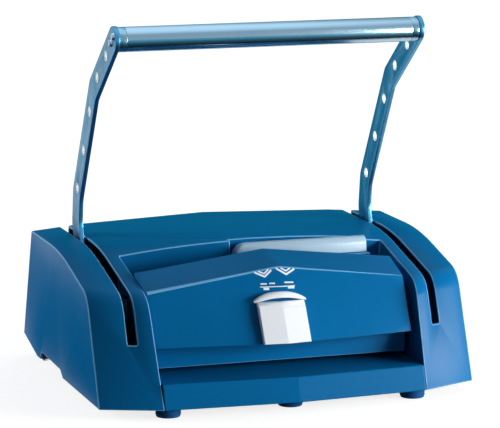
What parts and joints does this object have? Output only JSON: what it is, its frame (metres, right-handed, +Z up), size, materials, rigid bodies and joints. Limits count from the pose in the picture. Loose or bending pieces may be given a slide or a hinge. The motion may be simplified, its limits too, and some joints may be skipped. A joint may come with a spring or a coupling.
{
  "type": "channel binding machine",
  "caption": "Desk binding machine: a long lever turns cams that close a jaw on a cover's metal spine channel, in a moulded housing with wings.",
  "frame": {"origin": "on the desk, under the middle of the machine's box", "axes": "+X to the machine's right, +Y to its back, +Z up; the front panel and tray face -Y"},
  "size_m": [0.454, 0.4206, 0.4345],
  "materials": {
    "housing_plastic": "satin",
    "selector_plastic": "satin",
    "guide_plastic": "matte",
    "tool_plastic": "satin",
    "arm_steel": "satin",
    "grip_aluminium": "satin",
    "collar_aluminium": "satin",
    "frame_steel": "satin",
    "base_steel": "matte",
    "jaw_steel": "satin",
    "shaft_steel": "polished",
    "spring_steel": "polished",
    "screw_steel": "polished",
    "bush_bronze": "satin",
    "foot_rubber": "matte"
  },
  "bodies": {
    "root": {"main_cover": "housing_plastic", "front_tray": "housing_plastic", "hood": "housing_plastic", "hood_apron": "housing_plastic", "base_plate": "base_steel", "left_side_frame": "frame_steel", "right_side_frame": "frame_steel", "fixed_jaw": "jaw_steel", "jaw_insert": "jaw_steel", "spine_rest": "frame_steel", "rear_tie_bar": "frame_steel", "stop_pins": "screw_steel", "stop_sleeves": "foot_rubber", "shaft_bushes": "bush_bronze", "selector_rails": "guide_plastic", "jaw_springs": "spring_steel", "rubber_feet": "foot_rubber", "foot_screws": "screw_steel", "frame_screws": "screw_steel", "cover_screws": "screw_steel", "hood_screws": "screw_steel"},
    "handle": {"left_arm": "arm_steel", "right_arm": "arm_steel", "grip_tube": "grip_aluminium", "grip_collars": "collar_aluminium", "grip_screws": "screw_steel", "pivot_shaft": "shaft_steel", "arm_hubs": "frame_steel", "shaft_nuts": "screw_steel", "left_cam": "jaw_steel", "right_cam": "jaw_steel", "cam_collars": "shaft_steel"},
    "jaw": {"moving_jaw": "jaw_steel", "jaw_guide_pins": "shaft_steel", "cam_followers": "bush_bronze", "follower_pins": "shaft_steel"},
    "selector": {"selector_knob": "selector_plastic", "selector_stem": "selector_plastic", "selector_slide": "guide_plastic"},
    "tool": {"opening_tool": "tool_plastic"}
  },
  "joints": [
    {"name": "handle_swing", "type": "hinge", "parent": "root", "child": "handle", "pos_m": [0, 0.03574, 0.053], "axis": [1, 0, 0], "range_deg": [0, 72], "stiffness_Nm_per_rad": 3, "springref_deg": -45.84},
    {"name": "jaw_slide", "type": "slide", "parent": "root", "child": "jaw", "axis": [0, -1, 0], "range_m": [0, 0.0121], "deforming": ["jaw_springs"]},
    {"name": "selector_slide_joint", "type": "slide", "parent": "root", "child": "selector", "axis": [1, 0, 0], "range_m": [0, 0.013]},
    {"name": "tool_lift", "type": "slide", "parent": "root", "child": "tool", "axis": [0, 0, 1], "range_m": [0, 0.06]}
  ],
  "couplings": [
    {"joint": "jaw_slide", "follows": "handle_swing", "m_per_rad": 0.0095493}
  ]
}
